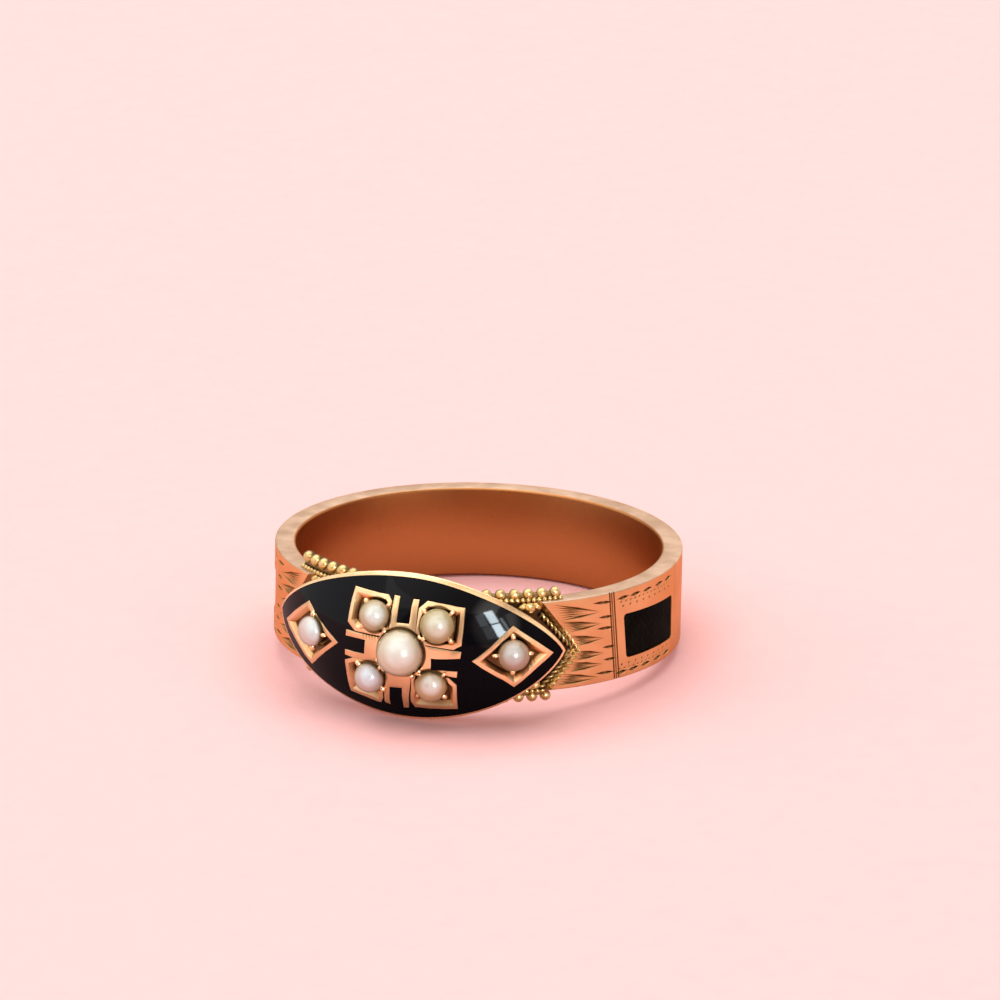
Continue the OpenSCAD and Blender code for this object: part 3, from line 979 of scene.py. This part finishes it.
def cell_into(bm, corners, top, wall=None):
    """A raised cell with eased edges. With a wall it is hollow, with facets that slope inwards."""
    one = bmesh.new()
    corners = corners[::-1] if clockwise(corners) else corners
    face = prism_into(one, corners, CELL_FOOT, top)
    soften(one, face.edges, CELL_EASE, 2)
    if wall:
        face = max((f for f in one.faces if f.normal.z > 0.9), key=lambda f: f.calc_area())
        sink(one, face, wall)
        sink(one, face, WELL_EASE, WELL_EASE)
        sink(one, face, WELL_SLOPE, WELL_DEPTH)
    join_into(bm, one)


def seat_knife():
    """A round seat under the centre pearl, and the small bright cuts beside the left fret."""
    knife = bmesh.new()
    above = Matrix.Translation((*CENTRE, 1))
    bmesh.ops.create_circle(knife, segments=ROUND_STEPS, radius=SEAT_R, matrix=above)
    disc = bmesh.ops.contextual_create(knife, geom=knife.edges[:])["faces"]
    pull(knife, disc, -1 - SEAT_DEPTH)
    bmesh.ops.recalc_face_normals(knife, faces=knife.faces)
    for i in range(6):
        s = -1.95 + 0.16 * i
        graver_cut(knife, (s, 0.86), (s + 0.06, 0.48), 0.09, 0.1, 0.3)
    return knife


def collar_into(bm):
    """A thin ring of gold pushed up against the centre pearl."""
    ring = bmesh.ops.create_circle(bm, segments=ROUND_STEPS, radius=COLLAR_R)["verts"]
    edges = [e for e in bm.edges if e.verts[0] in ring and e.verts[1] in ring]
    wall = bmesh.ops.extrude_edge_only(bm, edges=edges)["geom"]
    outer = [g for g in wall if isinstance(g, bmesh.types.BMVert)]
    wider = 1 + COLLAR_T / COLLAR_R
    bmesh.ops.scale(bm, vec=(wider, wider, 1), verts=outer)
    flat_ring = [g for g in wall if isinstance(g, bmesh.types.BMFace)]
    lifted = pull(bm, flat_ring, COLLAR_H)[0]
    whole = list({*ring, *outer, *lifted})
    bmesh.ops.translate(bm, vec=(*CENTRE, -0.25), verts=whole)
    bmesh.ops.recalc_face_normals(bm, faces=list({f for v in whole for f in v.link_faces}))


def cell_work():
    cells = bmesh.new()
    for corners in FRETS:
        cell_into(cells, corners, FRET_TOP)
    for corners in BOXES:
        cell_into(cells, corners, BOX_TOP, BOX_WALL)
    for corners in LOZENGES:
        cell_into(cells, corners, LOZENGE_TOP, LOZENGE_WALL)
    cells = cut_away(cells, seat_knife())
    bmesh.ops.create_cone(
        cells, cap_ends=True, segments=ROUND_STEPS, radius1=SEAT_FOOT_R, radius2=SEAT_FOOT_R - 0.03,
        depth=0.22, matrix=Matrix.Translation((*CENTRE, -0.31)))
    collar_into(cells)
    slices(cells, 0, reach=8.2, step=0.32)
    slices(cells, 1, reach=3.2, step=0.32)
    noise.seed_set(HAND_SEED)
    for vert in cells.verts:
        vert.co += noise.noise_vector(vert.co * HAND_WAVES) * HAND_SHAKE
    bend(cells, domed)
    return cells


finish_piece("pearl_cells", cell_work(), cell_gold)

# %% [markdown]
# ## The enamel
# The enamel is a thin domed sheet that fills the head between the rim and the cells.
# It is cut to clear them by a hair, so no two solids share a face.

# %% Enamel
GAP = 0.03


def grown(corners, by):
    """An outline pushed outwards by a hair, from its own middle."""
    n = len(corners)
    out = []
    for i in range(n):
        before = Vector(corners[i - 1])
        here = Vector(corners[i])
        after = Vector(corners[(i + 1) % n])
        a = (here - before).normalized()
        b = (after - here).normalized()
        normal = Vector((a.y + b.y, -a.x - b.x))
        length = normal.length
        out.append(tuple(here + normal / length * (2 * by / length)))
    return out


def enamel_sheet():
    sheet = bmesh.new()
    prism_into(sheet, field_outline(GAP), GAP - ENAMEL_DEPTH, 0)
    knife = bmesh.new()
    for corners in FRETS + BOXES + LOZENGES:
        corners = corners[::-1] if clockwise(corners) else corners
        prism_into(knife, grown(corners, GAP / 2), -1, 1)
    bmesh.ops.create_cone(
        knife, cap_ends=True, segments=48, radius1=SEAT_FOOT_R + 0.02, radius2=SEAT_FOOT_R + 0.02,
        depth=2, matrix=Matrix.Translation((*CENTRE, 0)))
    sheet = cut_away(sheet, knife)
    slices(sheet, 0, reach=8.2, step=0.25)
    slices(sheet, 1, reach=3.3, step=0.25)
    bend(sheet, domed)
    return sheet


finish_piece(
    "enamel_sheet", enamel_sheet(), black_enamel, node="enamel_field", crisp=20)

# %% [markdown]
# ## Pearls
# Half pearls sit in the cells. Each is a ball pressed slightly out of round, cut flat at
# its base, and set upright on the curved head.
# Noise moves its surface by a few hundredths of a millimetre, as no pearl is quite round.

# %% Pearls
PEARL_RISE = 0.1
PEARL_SINK = 0.36
OUT_OF_ROUND = 0.022


def stand_on_head(s, z):
    """A frame that stands on the head's surface, with its z outwards."""
    along = s / ROUND_R
    across = asin(z / DOME_R)
    out = Vector((cos(across) * sin(along), -cos(across) * cos(along), sin(across)))
    side = Vector((cos(along), sin(along), 0))
    matrix = Matrix((side, out.cross(side), out)).transposed().to_4x4()
    matrix.translation = domed(Vector((s, z, 0)))
    return matrix


def with_heights():
    """An empty mesh whose vertices can keep a height."""
    made = bmesh.new()
    made.verts.layers.float_vector.new("flat")
    return made


def mark_height(bm, verts, size):
    """Keeps how high each vertex stands in its own piece, as a share of size."""
    flat = bm.verts.layers.float_vector["flat"]
    for vert in verts:
        vert[flat] = Vector((vert.co.x, vert.co.y, vert.co.z / size))


def pearl_ball(radius, press, seed):
    """A ball, pressed flatter towards the head where press is below 1."""
    ball = with_heights()
    bmesh.ops.create_uvsphere(ball, u_segments=56, v_segments=32, radius=radius)
    for vert in ball.verts:
        wobble = noise.noise(vert.co * 0.9 + Vector((seed * 7.3, 0, 0)))
        vert.co *= 1 + OUT_OF_ROUND * (wobble - 0.4)
    bmesh.ops.scale(ball, vec=(1, 1, press), verts=ball.verts)
    bmesh.ops.translate(ball, vec=(0, 0, PEARL_RISE), verts=ball.verts)
    geom = ball.verts[:] + ball.edges[:] + ball.faces[:]
    cut = bmesh.ops.bisect_plane(
        ball, geom=geom, plane_co=(0, 0, -PEARL_SINK), plane_no=(0, 0, -1), clear_outer=True)
    rim = [g for g in cut["geom_cut"] if isinstance(g, bmesh.types.BMEdge)]
    bmesh.ops.edgeloop_fill(ball, edges=rim)
    mark_height(ball, ball.verts, radius)
    return ball


for seed, (name, s, z, radius, press, middle, rim) in enumerate(PEARLS):
    ball = pearl_ball(radius, press, seed)
    bmesh.ops.transform(ball, matrix=stand_on_head(s, z), verts=ball.verts)
    finish = pearl_finish(name + "_nacre", middle, rim)
    finish_piece("half_" + name, ball, finish, node=name)

# %% [markdown]
# ## Grains
# Four small grains of gold, pushed up with a graver and rounded, hold each pearl.
# Each is a squashed ball that leans on the pearl. They share the rim's finish, which reads
# the flat place, so they are given one that lies about where they do.

# %% Grains
GRAIN_R = 0.15
CENTRE_GRAIN_R = 0.13
CENTRE_GRAINS_AT = 1.25
CENTRE_GRAINS = [42, 132, 205, 228, 297, 318]


def grains():
    made = bmesh.new()
    for name, s, z, radius, press, middle, rim in PEARLS[1:]:
        square = abs(s) < 3
        for i in range(4):
            turn = Matrix.Rotation(i * pi / 2 + square * pi / 4, 4, "Z")
            out = Matrix.Translation((radius + GRAIN_R / 2.2, 0, -0.02))
            shape = Matrix.Diagonal((1.35, 0.75 + 0.15 * (i % 2), 1.1, 1))
            bmesh.ops.create_uvsphere(
                made, u_segments=16, v_segments=10, radius=GRAIN_R,
                matrix=stand_on_head(s, z) @ turn @ out @ shape)
    for degrees_round in CENTRE_GRAINS:
        turn = Matrix.Rotation(radians(degrees_round), 4, "Z")
        out = Matrix.Translation((CENTRE_GRAINS_AT, 0, 0))
        bmesh.ops.create_uvsphere(
            made, u_segments=14, v_segments=8, radius=CENTRE_GRAIN_R,
            matrix=stand_on_head(*CENTRE) @ turn @ out)
    flat = made.verts.layers.float_vector.new("flat")
    for vert in made.verts:
        vert[flat] = Vector((vert.co.x, vert.co.z, 0.05))
    return made


finish_piece("pearl_grains", grains(), rim_gold)

# %% [markdown]
# ## Beads on the shoulders
# A row of round beads runs along each edge of the neck, with a finer row beside it. On the
# ring the upper left row sits a little higher than the others.
# An array modifier and a curve could lay out such a row. Here each bead is placed by its angle
# round the band, which keeps it round when the flat strip is bent.

# %% Beads
BEAD_R = 0.27
MILGRAIN_R = 0.13
LEFT_LIFT = 0.24
BEAD_STEP = 4.13
BEAD_ROWS = [(-1, 18.8, -2.58), (1, 21.1, 2.52)]
MILGRAIN_STEP = 1.62
LEDGE_HALF_W = 0.22


def bead_into(bm, a, z, height, radius, segments):
    made = bmesh.ops.create_uvsphere(
        bm, u_segments=segments, v_segments=segments * 2 // 3, radius=radius)["verts"]
    mark_height(bm, made, radius)
    outwards = Matrix.Rotation(radians(a), 4, "Z") @ Matrix.Rotation(pi / 2, 4, "X")
    at = Matrix.Translation(rolled(Vector((round_band(a), z, height))))
    bmesh.ops.transform(bm, matrix=at @ outwards, verts=made)


def bead_rows():
    made = with_heights()
    for side in (-1, 1):
        for up_down, first, z in BEAD_ROWS:
            for i in range(6):
                lift = LEFT_LIFT * (side < 0 < up_down)
                a = side * (first + BEAD_STEP * i)
                bead_into(made, a, z + lift, -0.52, BEAD_R + lift / 8, 18)
            for i in range(15 if up_down > 0 else 12):
                a = side * (20.4 + MILGRAIN_STEP * i)
                bead_into(made, a, up_down * 2.27, -0.34, MILGRAIN_R, 12)
    return made


def carriers():
    """A narrow ledge on the band's edge, to which each row of beads is soldered."""
    made = bmesh.new()
    for side in (-1, 1):
        for up_down in (-1, 1):
            middle, half, z = (31.5, 2.05, 2.31) if up_down > 0 else (28.6, 1.86, -2.31)
            z += LEFT_LIFT * (side < 0 < up_down)
            low = (round_band(side * middle) - half, z - LEDGE_HALF_W, -0.8)
            box_into(made, low, (low[0] + 2 * half, z + LEDGE_HALF_W, -0.42))
    soften(made, made.edges, 0.04, 2)
    slices(made, 0, reach=8, step=0.2)
    bend(made, rolled)
    # Every ledge is given one low height, so the trim's painted shade darkens it throughout.
    flat = made.verts.layers.float_vector["flat"]
    for vert in made.verts:
        vert[flat] = Vector((0, 0, -0.1))
    return made


finish_piece("shoulder_beads", bead_rows(), trim_gold)
finish_piece("bead_ledges", carriers(), trim_gold)

# %% [markdown]
# ## Twisted wire
# Two twisted wires follow each arm of the V. A strand could be a curve with a round profile.
# Here it is a small disc spun along a screw line, which is what bmesh's spin does when it is
# given a step forward as well as a turn, so its caps are closed and its size is exact.

# %% Twisted wire
TWIST_PITCH = 0.62
STEPS_PER_TURN = 14
ROPES = [
    (47.3, -0.38, 36.9, 1.55, -0.29, 0.09), (48.1, -0.36, 43.1, 0.85, -0.06, 0.085),
    (48.3, -0.42, 39.8, -2.05, -0.08, 0.105), (47.3, -0.45, 37.4, -2.1, -0.29, 0.085),
]


def twisted_into(bm, start, end, height, strand):
    """Two strands twisted together, laid from start to end on the flat neck."""
    start = Vector((*start, height))
    run = Vector((*end, height)) - start
    turns = run.length / TWIST_PITCH
    steps = int(turns * STEPS_PER_TURN)
    for half in (0, pi):
        wire = bmesh.new()
        centre = Matrix.Translation((strand * 0.8 * cos(half), strand * 0.8 * sin(half), 0))
        bmesh.ops.create_circle(wire, cap_ends=True, segments=8, radius=strand, matrix=centre)
        bmesh.ops.spin(
            wire, geom=wire.faces[:], cent=(0, 0, 0), axis=(0, 0, 1), dvec=(0, 0, run.length / steps),
            angle=2 * pi * turns, steps=steps, use_duplicate=False)
        bmesh.ops.recalc_face_normals(wire, faces=wire.faces)
        turn = Vector((0, 0, 1)).rotation_difference(run).to_matrix().to_4x4()
        bmesh.ops.transform(wire, matrix=Matrix.Translation(start) @ turn, verts=wire.verts)
        join_into(bm, wire)


def ropes():
    made = bmesh.new()
    for side in (-1, 1):
        for a, z, end_a, end_z, height, strand in ROPES:
            start = (round_band(side * a), z)
            twisted_into(made, start, (round_band(side * end_a), end_z), height, strand)
    bend(made, rolled)
    # The height is scaled so that the lower strands take the trim's painted shade.
    flat = made.verts.layers.float_vector["flat"]
    for vert in made.verts:
        vert[flat].z = (vert[flat].z + 0.20) / 0.22
    return made


finish_piece("twisted_ropes", ropes(), trim_gold)

# %% [markdown]
# ## Small leaves
# A small applied leaf covers each end of the ropes. Close up it is a cluster of four lobes.
# Each lobe is a ball pressed flat, with its sides turned up a little along its middle line,
# and the lobes are laid over each other at different turns.

# %% Small leaves
LEAVES_A = 33.8
LEAVES_Z = 1.92
LEAVES_RISE = -0.32
LEAF_T = 0.24
LEAVES = [
    (0, 0, 0.34, 0.25, 0), (-0.38, 0.06, 0.28, 0.15, 0.5),
    (0.36, 0.05, 0.28, 0.17, -0.4), (0.02, -0.17, 0.2, 0.1, 0.2),
]


def leaves():
    """A small cluster of leaves behind each end of the rope."""
    made = with_heights()
    for side in (-1, 1):
        for up_down in (-1, 1):
            for along, across, long, wide, turn in LEAVES:
                leaf = bmesh.ops.create_uvsphere(made, u_segments=18, v_segments=12, radius=1)["verts"]
                mark_height(made, leaf, 1.2)
                for vert in leaf:
                    vert.co.z += 0.25 * abs(vert.co.y) - 0.12
                at = (round_band(side * LEAVES_A) + along, up_down * (LEAVES_Z + across), LEAVES_RISE)
                place = Matrix.Translation(at) @ Matrix.Rotation(turn * up_down, 4, "Z")
                shape = Matrix.Diagonal((long, wide, LEAF_T, 1))
                bmesh.ops.transform(made, matrix=place @ shape, verts=leaf)
    for vert in made.verts:
        vert.co = rolled(vert.co)
    return made


finish_piece("shoulder_leaves", leaves(), trim_gold)

# %% [markdown]
# ## The dark panels
# A thin slab lies in each window, just below the surface, with softened edges like a
# cabochon's.

# %% Panels
PANEL_TOP = -0.05
PANEL_EASE = 0.07
WINDOW_MIDDLE = (77.4, -0.22)
CLEAR_OF_WINDOW = (0.985, 0.975, 1)


def panel(side):
    slab = bmesh.new()
    rounded_prism(slab, window_outline(side), GAP - WINDOW_DEPTH, PANEL_TOP, WINDOW_CORNER)
    a, z = WINDOW_MIDDLE
    middle = Matrix.Translation((round_band(-side * a), -z, 0))
    bmesh.ops.scale(slab, vec=CLEAR_OF_WINDOW, verts=slab.verts, space=middle)
    top = max(slab.faces, key=lambda f: f.calc_center_median().z)
    soften(slab, top.edges, PANEL_EASE, 3)
    slices(slab, 0, HALF_TURN, HALF_TURN / 180)
    bend(slab, rolled)
    return slab


for side, node in ((-1, "left_hair_panel"), (1, "right_hair_panel")):
    finish_piece("inlaid_" + node, panel(side), hair, node=node)

# %% [markdown]
# ## Floor
# The ring lies on pale pink paper. A plane with a very fine noise for its fibres is enough,
# and it is wide enough that its edges stay out of every view.

# %% Paper
def paper():
    made, flow, shader = new_finish("pale_paper", Roughness=0.9)
    place = flow.node("ShaderNodeTexCoord", {}, {}, "Object")
    fibre = place.noise(900, 4)
    feed(flow, shader, "Base Color", fibre.mix((0.94, 0.525, 0.525, 1), (0.97, 0.565, 0.56, 1)))
    feed(flow, shader, "Normal", bumped(flow, fibre, 0.05))
    return made


floor_mesh = bpy.data.meshes.new("paper")
sheet = bmesh.new()
bmesh.ops.create_grid(sheet, x_segments=1, y_segments=1, size=1.5)
bmesh.ops.translate(sheet, vec=(0, 0, cad_box[0][2]), verts=sheet.verts)
sheet.to_mesh(floor_mesh)
sheet.free()
floor = bpy.data.objects.new("paper", floor_mesh)
bpy.context.scene.collection.objects.link(floor)
floor_mesh.materials.append(paper())
print("paper at", round(cad_box[0][2], 5))

# %% [markdown]
# ## Light
# A large soft box above and behind gives the even paper and the soft shadow. Weaker ones at
# the sides and in front fill the shadows and whiten the pearls, and they are kept out of the
# reflections. A dim pink world stands for the rest of the room.

# %% Lights
def soft_box(name, at, size, power, colour, target=(0, 0, 0), roll=0):
    light = bpy.data.lights.new(name, "AREA")
    light.shape = "RECTANGLE"
    light.size = size[0]
    light.size_y = size[1]
    light.energy = power
    light.color = colour
    holder = bpy.data.objects.new(name, light)
    bpy.context.scene.collection.objects.link(holder)
    holder.location = at
    aim = (Vector(target) - Vector(at)).to_track_quat("-Z", "Y")
    holder.rotation_euler = (aim @ Quaternion((0, 0, 1), roll)).to_euler()
    return holder


soft_box("sky_box", (-0.15, 0.25, 1.0), (1.5, 1.2), 13.4, (1, 0.98, 0.95))
for name, at, power, colour in (
    ("left_box", (-0.9, -0.1, 0.5), 2.2, (1, 0.97, 0.93)),
    ("right_box", (0.9, -0.3, 0.6), 0.9, (1, 0.96, 0.92)),
    ("front_box", (-0.1, -0.9, 0.7), 2.25, (0.96, 1, 0.99)),
):
    soft_box(name, at, (0.6, 0.6), power, colour).visible_glossy = False

world = bpy.data.worlds.new("studio")
bpy.context.scene.world = world
world.use_nodes = True
world.node_tree.nodes["Background"].inputs["Color"].default_value = (1, 0.87, 0.83, 1)
world.node_tree.nodes["Background"].inputs["Strength"].default_value = 0.42
bpy.context.scene.view_settings.view_transform = "Standard"
print(len(bpy.data.lights), "soft boxes")

# %% [markdown]
# ## What the polished parts mirror
# Enamel and gold show the room more than their own colour. A photographer sets white cards
# round such a ring, to be seen in it.
# Each card here is placed by the spot on the head that should mirror it to the camera: the
# view direction is turned about the surface's normal there. The cards add nothing to matt
# surfaces.

# %% Mirrored cards
def mirrored_from(s, z):
    """The direction from which the head's surface at s, z shows a light to the camera."""
    stand = TIPPED @ stand_on_head(s, z)
    normal = stand.to_3x3() @ Vector((0, 0, 1))
    at = stand.translation * MM
    seen = (camera.matrix_world.translation - at).normalized()
    return at, 2 * normal.dot(seen) * normal - seen


def card(name, at, size, brightness, colour, target=(0, 0, 0), roll=0):
    """A light that only shows in glossy surfaces, as bright as brightness times white paper."""
    one = soft_box(name, at, size, brightness * pi * size[0] * size[1], colour, target, roll)
    one.visible_diffuse = False
    one.visible_camera = False
    print(name, "at", [round(x, 3) for x in at])
    return one


PANES = [(-0.059, 0.054, 0.046, 0.07), (-0.059, -0.066, 0.046, 0.04), (0, 0.062, 0.048, 0.9),
         (0, -0.062, 0.048, 1.0), (0.046, -0.02, 0.014, 0.2)]
PANE_H = 0.112
PANE_COLOUR = (0.80, 0.93, 1)


def window_card(s, z, distance, roll, brightness):
    """Cool panes, some of them bright, as a distant window shows them."""
    at, way = mirrored_from(s, z)
    turn = (-way).to_track_quat("-Z", "Y") @ Quaternion((0, 0, 1), roll)
    panes = []
    for across, along, wide, share in PANES:
        middle = at + way * distance + turn @ Vector((across, along, 0))
        size = (wide, PANE_H)
        panes.append(card("pane", middle, size, brightness * share, PANE_COLOUR, at, roll))
    return panes


def only_on(lights, starts):
    """Light linking: the lights fall only on pieces whose names start in one of these ways."""
    lit = bpy.data.collections.new(lights[0].name + "_falls_on")
    for piece in list(bpy.data.objects):
        if piece.name.startswith(starts):
            lit.objects.link(piece)
    for light in lights:
        light.light_linking.receiver_collection = lit


only_on(window_card(*BRIGHT_SPOT, 0.5, radians(12), 24), ("enamel_",))
for name, s, z, size, brightness, colour in (
    ("left_card", -3.3, 2.4, (1.1, 0.62), 0.9, (0.94, 0.97, 1)),
    ("front_card", 2.0, 2.8, (0.80, 0.34), 1.25, (1, 0.96, 0.88)),
    ("right_card", 7.0, 1.5, (0.45, 0.35), 0.9, (1, 0.95, 0.90)),
):
    at, way = mirrored_from(s, z)
    card(name, at + way * 0.6, size, brightness, colour, at)
card("back_card", (0.2, 0.75, 0.28), (1.5, 0.5), 0.75, (1, 0.93, 0.90))

# %% [markdown]
# ## A glint on pearls and beads
# Round things show the window as one small spot, and in a photograph that spot blooms.
# A brighter light in the window's direction gives them that spot. Light linking keeps both
# this light and the window's panes off the flat gold, which would glare.

# %% Glint
at, way = mirrored_from(4.5, 1.5)
glint = card("glint", at + way * 0.5, (0.13, 0.19), 30, (0.95, 0.99, 1), at)
only_on([glint], ("half_", "shoulder_", "twisted_", "pearl_grains"))
